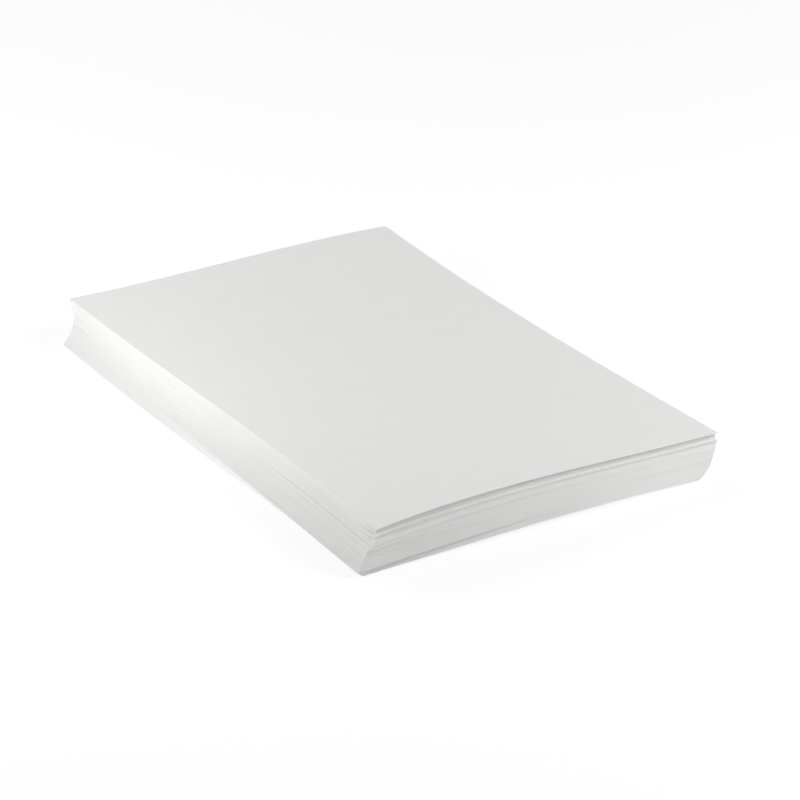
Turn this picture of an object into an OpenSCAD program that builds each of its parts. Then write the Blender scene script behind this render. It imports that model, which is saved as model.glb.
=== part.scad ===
// Ream of office paper: loose A4 sheets, unwrapped and standing free.
// Handling has left the stack slumped to one side and twisted a little, with
// its top sheets arched along the near end and sagging along the right edge.
// X runs along the short edge, Y along the long edge, Z up. The near end of
// the stack faces -Y. The sheets are grouped in lifts, and the solid of each
// lift takes in the thin air between its sheets.

/* [Sheets] */
// Width of one sheet
sheet_w = 210; // [100:1:420]
// Length of one sheet
sheet_l = 297; // [150:1:600]
// Thickness of one sheet
sheet_t = 0.09; // [0.07:0.005:0.3]
// Air between two sheets, taken over the whole stack
air = 0.018; // [0.01:0.002:0.05]
// Sheets in one lift
lift_sheets = 10; // [5:1:20]
// Number of lifts in the stack
lifts = 25; // [10:1:50]
// Clearance between two lifts
lift_gap = 0.02; // [0.01:0.005:0.05]

/* [Top] */
// Height of the front corner above the plain stack
front_up = 0.7; // [-3:0.1:6]
// Height of the right corner above the plain stack
right_up = -2.5; // [-3:0.1:6]
// Height of the back corner above the plain stack
back_up = 1.4; // [-3:0.1:6]
// Height of the left corner above the plain stack
left_up = 0.4; // [-3:0.1:6]
// Rise of the near end at its middle
near_rise = 3.1; // [-3:0.1:6]
// Extra rise of the near end towards the front corner
near_lean = 2.7; // [-4:0.1:4]
// Rise of the far end at its middle
far_rise = 0.4; // [-3:0.1:6]
// Extra rise of the far end towards the left corner
far_lean = -2.2; // [-4:0.1:4]
// Rise of the left edge at its middle
left_rise = 1.2; // [-3:0.1:6]
// Extra rise of the left edge towards the front corner
left_lean = 3.1; // [-4:0.1:4]
// Sag of the right edge at its middle
right_sag = 3.5; // [-3:0.1:4]
// Extra rise of the right edge towards the right corner
right_lean = 1.2; // [-4:0.1:4]

/* [Bottom] */
// Lift of the lowest sheet off the table, at the middle of the near end
curl = 3.7; // [0:0.1:5]
// Extra lift towards the front corner
curl_lean = -0.5; // [-2:0.1:2]
// How far in from the near end that lift dies out
curl_reach = 122; // [40:1:160]

/* [Slump] */
// How far the lowest sheet has slid to the left
slump = 8.2; // [0:0.1:15]
// How fast the slide grows towards the bottom
slump_power = 4.1; // [1:0.1:6]
// Turn of the lower sheets against the top sheet, in degrees
twist = 1.25; // [0:0.05:4]
// Share of the stack over which that turn builds up
twist_depth = 0.76; // [0.3:0.02:1]

/* [Rolled corner] */
// How far the lowest sheet is rolled in at the front corner, along X
roll_x = 9.6; // [0:0.1:14]
// How far the rolled sheets are set back there, along Y
roll_y = 2.4; // [0:0.1:6]
// Lifts that are rolled in
roll_lifts = 4; // [1:1:10]
// Reach of the roll along the near end, for the slide along X
roll_reach_x = 30; // [10:1:60]
// Reach of the roll along the near end, for the set-back along Y
roll_reach_end = 60; // [10:1:100]
// Reach of the roll along the left edge
roll_reach_y = 113; // [10:1:140]

/* [Handfuls] */
// Lifts in the lower handful
lower_lifts = 13; // [5:1:18]
// How far the lower handful has slid to the left
lower_slide = 0.1; // [0:0.1:3]
// How far it is set back at the near end
lower_back = 0.1; // [0:0.1:3]
// Its turn against the sheets above, in degrees
lower_turn = 0.1; // [0:0.05:1]
// Lifts in the upper handful, under the overhanging top sheet
upper_lifts = 4; // [1:1:8]
// How far the upper handful is set back at the near end
upper_back = 1.7; // [0:0.1:3]
// Air between two handfuls
handful_gap = 0.08; // [0.02:0.01:0.15]

/* [Hidden] */
// Rows of facets along X and along Y, closer together by the front corner
nx = 8;
ny = 10;
crowd_x = 1.5;
crowd_y = 1.3;

// How quickly the slide along X grows through the rolled lifts
roll_power = 1.2;

stack_h = lifts * lift_sheets * (sheet_t + air);
middle = [sheet_w / 2, sheet_l / 2];

function held(x) = min(1, max(0, x));
function smooth(x) = let (c = held(x)) c * c * (3 - 2 * c);
function bow(s, rise, lean) = 4 * s * (1 - s) * (rise + lean * (1 - 2 * s));

// Height of the top sheet: its four corners, and the bow of each of its edges
// fading across to the opposite edge.
function top_z(s, t) =
    stack_h
    + (1 - s) * (1 - t) * front_up + s * (1 - t) * right_up
    + s * t * back_up + (1 - s) * t * left_up
    + (1 - t) * bow(s, near_rise, near_lean)
    + t * bow(s, far_rise, far_lean)
    + (1 - s) * bow(t, left_rise, left_lean)
    + s * bow(t, -right_sag, right_lean);

// Height of the lowest sheet, flat on the table beyond the curl.
function bottom_z(s, y) =
    bow(s, curl, curl_lean) * pow(held(1 - y / curl_reach), 2);

// Height of any sheet above a place on the table. The level runs from 0 under
// the lowest sheet to 1 on the top sheet.
function height(x, y, level) =
    let (s = held(x / sheet_w), t = held(y / sheet_l))
    (1 - level) * bottom_z(s, max(0, y)) + level * top_z(s, t);

// How far a sheet is set back at the near end by its handful. The top lift
// takes up the set-back over its own thickness, so the top sheet overhangs.
function set_back(lift, level) =
    lift <= lower_lifts ? lower_back
    : lift > lifts - upper_lifts ? upper_back * held((1 - level) * lifts)
    : 0;

// Where a point of a flat sheet lies in the slumped stack, seen from above.
function plan(x, y, lift, level) =
    let (
        lower = lift <= lower_lifts ? 1 : 0,
        turn = -twist * smooth((1 - level) / twist_depth) - lower * lower_turn,
        slid = slump * pow(1 - level, slump_power) + lower * lower_slide,
        along = lift <= roll_lifts ? exp(-pow(y / roll_reach_y, 2) / 2) : 0,
        rolled = along * pow(held(1 - level * lifts / roll_lifts), roll_power),
        dx = x - middle.x,
        dy = y - middle.y
    )
    [
        middle.x + dx * cos(turn) - dy * sin(turn) - slid
            + roll_x * rolled * exp(-pow(x / roll_reach_x, 2) / 2),
        middle.y + dx * sin(turn) + dy * cos(turn) + set_back(lift, level)
            + roll_y * along * exp(-pow(x / roll_reach_end, 2) / 2)
    ];

// Clearance left under a lift, wider where a handful rests on another.
function clear_under(lift) =
    lift == 1 ? 0
    : lift == roll_lifts + 1 || lift == lower_lifts + 1 || lift == lifts - upper_lifts + 1
        ? handful_gap
    : lift_gap / 2;

function sheet_x(j) = sheet_w * pow(j / nx, crowd_x);
function sheet_y(k) = sheet_l * pow(k / ny, crowd_y);
function level_of(lift, side) = (lift - 1 + side) / lifts;

// The origin lies under the middle of the box around the whole stack.
corners = [
    for (lift = [1:lifts], side = [0, 1], k = [0:ny], j = [0:nx])
        if (j == 0 || j == nx || k == 0 || k == ny)
            plan(sheet_x(j), sheet_y(k), lift, level_of(lift, side))
];
box_low = [min([for (p = corners) p.x]), min([for (p = corners) p.y])];
box_high = [max([for (p = corners) p.x]), max([for (p = corners) p.y])];
origin = (box_low + box_high) / 2;

// One corner of the facets on the lower (side 0) or upper (side 1) face.
function point(lift, side, k, j) =
    let (
        level = level_of(lift, side),
        p = plan(sheet_x(j), sheet_y(k), lift, level),
        clear = side == 1 ? -lift_gap / 2 : clear_under(lift)
    )
    [p.x - origin.x, p.y - origin.y, height(p.x, p.y, level) + clear];

function id(side, k, j) = (side * (ny + 1) + k) * (nx + 1) + j;

// Two triangles for four corners given clockwise from outside.
function pair(a, b, c, d) = [[a, b, c], [a, c, d]];
function flat(lists) = [for (l = lists) for (e = l) e];

faces_of_lift = flat(concat(
    [for (k = [0:ny - 1], j = [0:nx - 1])
        pair(id(1, k, j), id(1, k + 1, j), id(1, k + 1, j + 1), id(1, k, j + 1))],
    [for (k = [0:ny - 1], j = [0:nx - 1])
        [for (f = pair(id(0, k, j), id(0, k + 1, j), id(0, k + 1, j + 1), id(0, k, j + 1)))
            [f[2], f[1], f[0]]]],
    [for (j = [0:nx - 1])
        pair(id(0, 0, j), id(1, 0, j), id(1, 0, j + 1), id(0, 0, j + 1))],
    [for (j = [0:nx - 1])
        pair(id(0, ny, j + 1), id(1, ny, j + 1), id(1, ny, j), id(0, ny, j))],
    [for (k = [0:ny - 1])
        pair(id(0, k + 1, 0), id(1, k + 1, 0), id(1, k, 0), id(0, k, 0))],
    [for (k = [0:ny - 1])
        pair(id(0, k, nx), id(1, k, nx), id(1, k + 1, nx), id(0, k + 1, nx))]
));

// A lift: one handful of sheets, bent and turned as it lies in the stack.
module lift(i) {
    color([0.9, 0.9, 0.89])
        polyhedron(
            points = [
                for (side = [0, 1], k = [0:ny], j = [0:nx]) point(i, side, k, j)
            ],
            faces = faces_of_lift
        );
}

for (i = [1:lifts]) {
    lift(i);
}
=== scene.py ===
# A ream of plain office paper, unwrapped, slumped and standing free.
import math
import random
from typing import NamedTuple

import bmesh
import bpy
from mathutils import Matrix, Vector


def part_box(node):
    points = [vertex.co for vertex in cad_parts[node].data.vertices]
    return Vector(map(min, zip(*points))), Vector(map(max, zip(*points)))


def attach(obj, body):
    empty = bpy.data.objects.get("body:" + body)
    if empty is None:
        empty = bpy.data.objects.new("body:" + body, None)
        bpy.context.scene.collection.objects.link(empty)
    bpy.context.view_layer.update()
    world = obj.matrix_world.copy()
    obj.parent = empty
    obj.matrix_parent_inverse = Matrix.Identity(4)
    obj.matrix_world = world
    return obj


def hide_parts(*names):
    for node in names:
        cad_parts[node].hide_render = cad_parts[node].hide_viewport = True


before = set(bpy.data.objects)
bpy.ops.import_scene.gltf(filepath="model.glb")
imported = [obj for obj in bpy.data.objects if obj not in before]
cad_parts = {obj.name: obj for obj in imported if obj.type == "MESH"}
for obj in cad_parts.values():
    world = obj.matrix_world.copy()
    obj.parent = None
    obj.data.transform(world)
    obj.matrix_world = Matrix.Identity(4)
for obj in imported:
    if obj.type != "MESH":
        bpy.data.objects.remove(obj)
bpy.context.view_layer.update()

MM = 0.001

# How the stack lies.
# Two hundred and fifty loose sheets, squared up by hand and then knocked: the
# lower sheets have slid to the left and turned a little under the top ones.
# The weight of the paper keeps them there, and trapped air arches the near end.
SHEET_W = 210 * MM
SHEET_L = 297 * MM
SHEET_T = 0.09 * MM
AIR = 0.018 * MM
LIFTS = 25
LIFT_SHEETS = 10
SHEETS = LIFTS * LIFT_SHEETS
STACK_H = SHEETS * (SHEET_T + AIR)
MIDDLE = Vector((SHEET_W / 2, SHEET_L / 2))

# The sheets are laid out from the front corner of the top one.
TOP_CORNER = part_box(f"lift_{LIFTS:02d}")[0]

# How far the corners of the top sheet lie above a plain stack, and how far each
# edge bows up at its middle, then its extra rise on the front corner's side.
CORNERS_UP = {"front": 0.7 * MM, "right": -2.5 * MM, "back": 1.4 * MM, "left": 0.4 * MM}
NEAR_BOW = (3.1 * MM, 2.7 * MM)
FAR_BOW = (0.4 * MM, -2.2 * MM)
LEFT_BOW = (1.2 * MM, 3.1 * MM)
RIGHT_BOW = (-3.5 * MM, 1.2 * MM)
CURL_BOW = (3.7 * MM, -0.5 * MM)
CURL_REACH = 122 * MM

SLUMP = 8.2 * MM
SLUMP_POWER = 4.1
TWIST = math.radians(1.25)
TWIST_DEPTH = 0.76
ROLL_X = 9.6 * MM
ROLL_Y = 2.4 * MM
ROLL_DEPTH = 0.16
ROLL_POWER = 1.2
ROLL_REACH_X = 30 * MM
ROLL_REACH_END = 60 * MM
ROLL_REACH_Y = 113 * MM
WORN_REACH = 22 * MM
WORN_REACH_SIDE = WORN_REACH / 6
WORN_REACH_END = WORN_REACH * 2


class Handful(NamedTuple):
    """Sheets put down together, a little askew to the rest. They start at a
    level from 0 at the table to 1 on top, and have slid, turned or leant over.
    Their front corner may be worn in, or rolled in under the stack."""
    start: float
    slide_x: float = 0.0
    slide_y: float = 0.0
    turn: float = 0.0
    lean: float = 0.0
    worn_x: float = 0.0
    worn_y: float = 0.0
    rolled: float = 0.0


ASKEW = Handful(
    0.0, slide_x=-0.05 * MM, slide_y=0.1 * MM, turn=math.radians(-0.05), worn_y=1.2 * MM
)
TURNED = Handful(0.0, slide_y=0.15 * MM, turn=math.radians(-0.18))

# From the table up. Two pairs of sheets are turned more than the rest, one pair
# stands out as a ledge, and above it a handful is set back under the top three.
HANDFULS = (
    ASKEW._replace(rolled=1.0),
    ASKEW._replace(start=ROLL_DEPTH),
    TURNED._replace(start=0.408, worn_y=1.2 * MM),
    ASKEW._replace(start=0.416),
    Handful(0.56),
    TURNED._replace(start=0.64),
    Handful(0.648),
    Handful(0.76, worn_x=0.9 * MM, worn_y=1.4 * MM),
    Handful(0.832, slide_y=-0.75 * MM, worn_x=0.9 * MM, worn_y=1.8 * MM),
    Handful(
        0.84, slide_x=0.1 * MM, slide_y=2.2 * MM, lean=-0.6 * MM,
        worn_x=1.8 * MM, worn_y=0.8 * MM,
    ),
    Handful(0.988),
)


def held(x):
    return min(1.0, max(0.0, x))


def smooth(x):
    c = held(x)
    return c * c * (3 - 2 * c)


def fade(distance, reach):
    return math.exp(-((distance / reach) ** 2) / 2)


def bow(s, rise_and_lean):
    rise, lean = rise_and_lean
    return 4 * s * (1 - s) * (rise + lean * (1 - 2 * s))


def height(x, y, level):
    """How high a sheet lies over a place, its level running from 0 to 1."""
    s, t = held(x / SHEET_W), held(y / SHEET_L)
    up = CORNERS_UP
    top = (
        STACK_H
        + (1 - s) * (1 - t) * up["front"] + s * (1 - t) * up["right"]
        + s * t * up["back"] + (1 - s) * t * up["left"]
        + (1 - t) * bow(s, NEAR_BOW) + t * bow(s, FAR_BOW)
        + (1 - s) * bow(t, LEFT_BOW) + s * bow(t, RIGHT_BOW)
    )
    bottom = bow(s, CURL_BOW) * held(1 - max(0, y) / CURL_REACH) ** 2
    return (1 - level) * bottom + level * top


def slumped(x, y, level, handful):
    """Where a point of a flat sheet lies in the stack, seen from above."""
    turn = handful.turn - TWIST * smooth((1 - level) / TWIST_DEPTH)
    place = Matrix.Rotation(turn, 2) @ (Vector((x, y)) - MIDDLE) + MIDDLE
    place.x += handful.slide_x - SLUMP * (1 - level) ** SLUMP_POWER
    place.y += handful.slide_y + handful.lean * (1 - level) / (1 - handful.start)
    worn = fade(x, WORN_REACH)
    place.x += handful.worn_x * worn * fade(y, WORN_REACH_SIDE)
    place.y += handful.worn_y * worn * fade(y, WORN_REACH_END)
    rolled = handful.rolled * fade(y, ROLL_REACH_Y)
    curled = held(1 - level / ROLL_DEPTH) ** ROLL_POWER
    place.x += ROLL_X * rolled * curled * fade(x, ROLL_REACH_X)
    place.y += ROLL_Y * rolled * fade(x, ROLL_REACH_END)
    return place


# The paper.
# Uncoated wood-free office paper, bleached and slightly matt. Its fibres make
# a faint cloudy formation and a fine tooth, and the guillotine leaves short
# upright marks across the cut edges of the stack.
PAPER_WHITE = (0.86, 0.86, 0.85, 1)
PAPER_SHADE = (0.83, 0.83, 0.815, 1)
CUT_SHADE = (0.835, 0.835, 0.822, 1)
PAPER_ROUGHNESS = 0.82
PAPER_SHINE = 0.3
CLOUD_SCALE = 90
CLOUD_DETAIL = 4.0
FIBRE_SCALE = 2600
KNIFE_SCALE = 900
KNIFE_STRETCH = (1, 1, 0.04)
KNIFE_TOOTH = 0.5
FINE_DETAIL = 2.0
TOOTH_HEIGHT = 0.02 * MM
TOOTH_STRENGTH = 0.25


class Socket:
    """A shader value: arithmetic on it adds the nodes that work it out."""

    def __init__(self, tree, output):
        self.tree = tree
        self.output = output

    def node(self, kind, outlet=0, settings=None, **inputs):
        made = self.tree.nodes.new(kind)
        for name, value in (settings or {}).items():
            setattr(made, name, value)
        for name, value in inputs.items():
            inlet = made.inputs[int(name[1:])] if name[1:].isdigit() else made.inputs[name]
            if isinstance(value, Socket):
                self.tree.links.new(value.output, inlet)
            else:
                inlet.default_value = value
        return Socket(self.tree, made.outputs[outlet])

    def math(self, operation, a, b):
        return self.node("ShaderNodeMath", settings={"operation": operation}, _0=a, _1=b)

    def __add__(self, other):
        return self.math("ADD", self, other)

    __radd__ = __add__

    def __mul__(self, other):
        return self.math("MULTIPLY", self, other)

    __rmul__ = __mul__

    def __sub__(self, other):
        return self.math("SUBTRACT", self, other)

    def __rsub__(self, other):
        return self.math("SUBTRACT", other, self)


def mixed(factor, first, second):
    """A colour between two colours."""
    return factor.node(
        "ShaderNodeMix", 2, {"data_type": "RGBA"}, _0=factor, _6=first, _7=second
    )


def paper_material():
    material = bpy.data.materials.new("paper")
    material.use_nodes = True
    tree = material.node_tree
    shader = tree.nodes["Principled BSDF"]
    start = Socket(tree, None)
    place = start.node("ShaderNodeTexCoord", "Object")
    cut = start.node("ShaderNodeAttribute", "Fac", {"attribute_name": "cut_edge"})
    cloud = start.node(
        "ShaderNodeTexNoise", Vector=place, Scale=CLOUD_SCALE, Detail=CLOUD_DETAIL
    )
    fibre = start.node(
        "ShaderNodeTexNoise", Vector=place, Scale=FIBRE_SCALE, Detail=FINE_DETAIL
    )
    upright = start.node("ShaderNodeMapping", Vector=place, Scale=KNIFE_STRETCH)
    knife = start.node(
        "ShaderNodeTexNoise", Vector=upright, Scale=KNIFE_SCALE, Detail=FINE_DETAIL
    )
    face = mixed(cloud, PAPER_SHADE, PAPER_WHITE)
    edge = mixed(knife, CUT_SHADE, PAPER_WHITE)
    colour = mixed(cut, face, edge)
    tooth = fibre * (1 - cut) + knife * cut * KNIFE_TOOTH
    bump = start.node(
        "ShaderNodeBump", Height=tooth, Strength=TOOTH_STRENGTH, Distance=TOOTH_HEIGHT
    )
    tree.links.new(colour.output, shader.inputs["Base Color"])
    tree.links.new(bump.output, shader.inputs["Normal"])
    shader.inputs["Roughness"].default_value = PAPER_ROUGHNESS
    shader.inputs["Specular IOR Level"].default_value = PAPER_SHINE
    return material


PAPER = paper_material()

# The sheets, ten to a lift.
# Each is a plain rectangle of paper cut on a guillotine. They went down in a
# few handfuls, so whole groups sit askew by about two millimetres at most, and
# single sheets stray by a few hundredths. Only their edges can be seen apart.
COLUMNS = 14
ROWS = 20
CROWD = Vector((1.4, 1.3))
RINGS_PER_SHEET = 4
UNDER_EDGE, UPPER_EDGE, GROOVE_LOW, GROOVE_HIGH = range(RINGS_PER_SHEET)
GROOVE = 0.8 * MM
STRAY = 0.018 * MM
STRAY_TURN = math.radians(0.01)
STRAY_SEED = 250
SAME_LEVEL = 1e-6

# A lift starts as a block one unit wide and high. A cap is its lower or upper
# face, and what ends up steep is the cut edge of the paper.
HALF_BLOCK = 0.5
NEAR_CAP = 1e-4
STEEP = 0.5

draw = random.Random(STRAY_SEED)
strays = [
    (draw.gauss(0, STRAY), draw.gauss(0, STRAY), draw.gauss(0, STRAY_TURN))
    for _ in range(SHEETS)
]


def jogged(x, y, sheet):
    """Where a point of one flat sheet lies, squared up as well as hands can."""
    stray_x, stray_y, stray_turn = strays[sheet]
    spin = Matrix.Rotation(stray_turn, 2)
    return spin @ (Vector((x, y)) - MIDDLE) + MIDDLE + Vector((stray_x, stray_y))


def inset(x, y, depth):
    """The point drawn in from the sheet's edges, to the bottom of a groove."""
    return Vector((
        min(max(x, depth), SHEET_W - depth),
        min(max(y, depth), SHEET_L - depth),
    ))


def ring_point(x, y, lift, ring):
    """A point of one ring round a lift: each sheet has its under edge and upper
    edge, and above it the two sides of the groove up to the next sheet."""
    step, part = divmod(ring, RINGS_PER_SHEET)
    sheet = (lift - 1) * LIFT_SHEETS + step
    on_edge = part in (UNDER_EDGE, UPPER_EDGE)
    on_upper_side = part in (UPPER_EDGE, GROOVE_LOW)
    flat = jogged(x, y, sheet) if on_edge else inset(x, y, GROOVE)
    level = (sheet + (part == GROOVE_HIGH)) / SHEETS
    handful = [h for h in HANDFULS if h.start <= sheet / SHEETS + SAME_LEVEL][-1]
    place = slumped(flat.x, flat.y, level, handful)
    z = height(place.x, place.y, level) + AIR / 2 + (SHEET_T if on_upper_side else 0)
    return (place.x + TOP_CORNER.x, place.y + TOP_CORNER.y, z)


def lift_mesh(lift):
    """A unit block with a ring for every edge and groove, bent into the lift."""
    bm = bmesh.new()
    cut_layer = bm.faces.layers.float.new("cut_edge")
    bmesh.ops.create_grid(bm, x_segments=COLUMNS, y_segments=ROWS, size=HALF_BLOCK)
    raised = bmesh.ops.extrude_face_region(bm, geom=list(bm.faces), use_keep_orig=True)
    top = [v for v in raised["geom"] if isinstance(v, bmesh.types.BMVert)]
    bmesh.ops.translate(bm, verts=top, vec=(0, 0, 1))
    uprights = [
        e for e in bm.edges if abs(e.verts[0].co.z - e.verts[1].co.z) > HALF_BLOCK
    ]
    rings = RINGS_PER_SHEET * (LIFT_SHEETS - 1) + 1
    bmesh.ops.subdivide_edges(bm, edges=uprights, cuts=rings - 1, use_grid_fill=True)
    caps = {f for f in bm.faces if all(v.co.z < NEAR_CAP for v in f.verts)}
    caps |= {f for f in bm.faces if all(v.co.z > 1 - NEAR_CAP for v in f.verts)}
    for v in bm.verts:
        ring = round(v.co.z * rings)
        x = SHEET_W * (v.co.x + HALF_BLOCK) ** CROWD.x
        y = SHEET_L * (v.co.y + HALF_BLOCK) ** CROWD.y
        v.co = ring_point(x, y, lift, ring)
    bmesh.ops.recalc_face_normals(bm, faces=bm.faces)
    for face in bm.faces:
        face.smooth = face in caps
        face[cut_layer] = 1.0 if abs(face.normal.z) < STEEP else 0.0
    for edge in bm.edges:
        edge.smooth = all(f in caps for f in edge.link_faces)
    return finished(bm, f"sheets_{lift:02d}")


def finished(bm, name):
    mesh = bpy.data.meshes.new(name)
    bm.to_mesh(mesh)
    bm.free()
    return mesh


def added(name, data):
    """A new object in the scene."""
    made = bpy.data.objects.new(name, data)
    bpy.context.scene.collection.objects.link(made)
    return made


for lift in range(1, LIFTS + 1):
    mesh = lift_mesh(lift)
    mesh.materials.append(PAPER)
    sheets = added(mesh.name, mesh)
    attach(sheets, "root")
    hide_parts(f"lift_{lift:02d}")

# The floor.
# A pale seamless sheet that glows, as if lit from below, so that it reads as white and the
# soft shadow of the stack stays faint. Its glow also lights the stack, hardest in a
# painted glow patch beside the right corner.
FLOOR_SIZE = 8.0
FLOOR_COLOUR = (0.82, 0.82, 0.82, 1)
FLOOR_SEEN = (0.27, 0.27, 0.27, 1)
GLOW_NEAR = (0.78, 0.78, 0.78, 1)
GLOW_LIT = (0.22, 0.22, 0.22, 1)
GLOW_SPOT = (0.35, 0.35, 0.35, 1)
GLOW_FAR = (1.0, 1.0, 1.0, 1)
SPOT_PLACE = (0.09, -0.17, 0.0)
SPOT_REACH = 0.08
NEAR_REACH = 0.5
FAR_REACH = 1.1
BLACK = (0, 0, 0, 1)

bm = bmesh.new()
bmesh.ops.create_grid(bm, x_segments=1, y_segments=1, size=FLOOR_SIZE / 2)
mesh = finished(bm, "floor")
floor = added("floor", mesh)
material = bpy.data.materials.new("floor")
material.use_nodes = True
tree = material.node_tree
shader = tree.nodes["Principled BSDF"]
start = Socket(tree, None)
seen = start.node("ShaderNodeLightPath", "Is Camera Ray")
place = start.node("ShaderNodeTexCoord", "Object")
far = start.node("ShaderNodeVectorMath", "Value", {"operation": "LENGTH"}, _0=place)
fade_out = start.node(
    "ShaderNodeMapRange", **{"Value": far, "From Min": NEAR_REACH, "From Max": FAR_REACH}
)
# A patch of stronger glow beside the right corner: painted light, unseen by the camera,
# that brightens the lower right of the near end.
from_spot = start.node(
    "ShaderNodeVectorMath", "Value", {"operation": "DISTANCE"}, _0=place, _1=SPOT_PLACE
)
spot = start.node(
    "ShaderNodeMapRange", settings={"interpolation_type": "SMOOTHSTEP"},
    **{"Value": from_spot, "From Min": 0.0, "From Max": SPOT_REACH}
)

# The camera sees mostly glow, which is pure white farther off. The stack gets the light
# that a pale floor sends back, and a weak glow, stronger in the painted glow patch that
# the camera does not see.
colour = mixed(seen, FLOOR_COLOUR, mixed(fade_out, FLOOR_SEEN, BLACK))
glow = mixed(seen, mixed(spot, GLOW_SPOT, GLOW_LIT), mixed(fade_out, GLOW_NEAR, GLOW_FAR))
tree.links.new(colour.output, shader.inputs["Base Color"])
tree.links.new(glow.output, shader.inputs["Emission Color"])
shader.inputs["Emission Strength"].default_value = 1.0
shader.inputs["Roughness"].default_value = 1.0
shader.inputs["Specular IOR Level"].default_value = 0.0
mesh.materials.append(material)

# The studio light.
# Soft boxes in a dim tent. Those on the left are low and nearer, so the long
# left side is the brightest. The one in front is high, so that the overhanging
# top sheets shade the near end under them.
TENT_LIGHT = 0.005
WHITE = (1, 1, 1, 1)

world = bpy.data.worlds.new("tent")
bpy.context.scene.world = world
world.use_nodes = True
tree = world.node_tree
background = tree.nodes["Background"]
background.inputs["Color"].default_value = WHITE
seen = Socket(tree, None).node("ShaderNodeLightPath", "Is Camera Ray")
tent = seen * (1 - TENT_LIGHT) + TENT_LIGHT
tree.links.new(tent.output, background.inputs["Strength"])

# Each soft box: its name, place, side in metres and power in watts.
SOFT_BOXES = (
    ("low_left_box", (-0.3, 0.06, 0.12), 0.15, 0.18),
    ("far_left_box", (-0.9, 0.0, 0.3), 0.5, 2.5),
    ("back_left_box", (-0.5, 0.5, 0.5), 0.4, 1.7),
    ("back_box", (-0.1, 0.9, 0.9), 0.7, 4.4),
    ("right_box", (1.0, -0.3, 0.4), 0.6, 4.3),
    ("high_front_box", (0.6, -0.8, 0.85), 0.5, 9.3),
)
for name, place, side, power in SOFT_BOXES:
    lamp = bpy.data.lights.new(name, "AREA")
    lamp.shape = "SQUARE"
    lamp.size = side
    lamp.energy = power
    box = added(name, lamp)
    box.location = place
    box.visible_camera = False
    box.rotation_euler = (-Vector(place)).to_track_quat("-Z", "Y").to_euler()

# The camera.
# A long lens from the front left, looking down over the front corner, and held
# a few degrees off level.
SENSOR = 36
LENS = 114.7
AZIMUTH = math.radians(-36.09)
ELEVATION = math.radians(26.41)
TILT = math.radians(2.91)
DISTANCE = 1.3368
AIM = Vector((0.1038, 0.12936, 0.013))

towards_camera = Vector((
    math.sin(AZIMUTH) * math.cos(ELEVATION),
    -math.cos(AZIMUTH) * math.cos(ELEVATION),
    math.sin(ELEVATION),
))
lens = bpy.data.cameras.new("camera")
lens.sensor_width = SENSOR
lens.lens = LENS
camera = added("camera", lens)
camera.location = AIM + Vector((TOP_CORNER.x, TOP_CORNER.y, 0)) + towards_camera * DISTANCE
level_turn = (-towards_camera).to_track_quat("-Z", "Y")
tilt = Matrix.Rotation(TILT, 4, "Z").to_quaternion()
camera.rotation_euler = (level_turn @ tilt).to_euler()
bpy.context.scene.camera = camera
bpy.context.scene.view_settings.view_transform = "Standard"
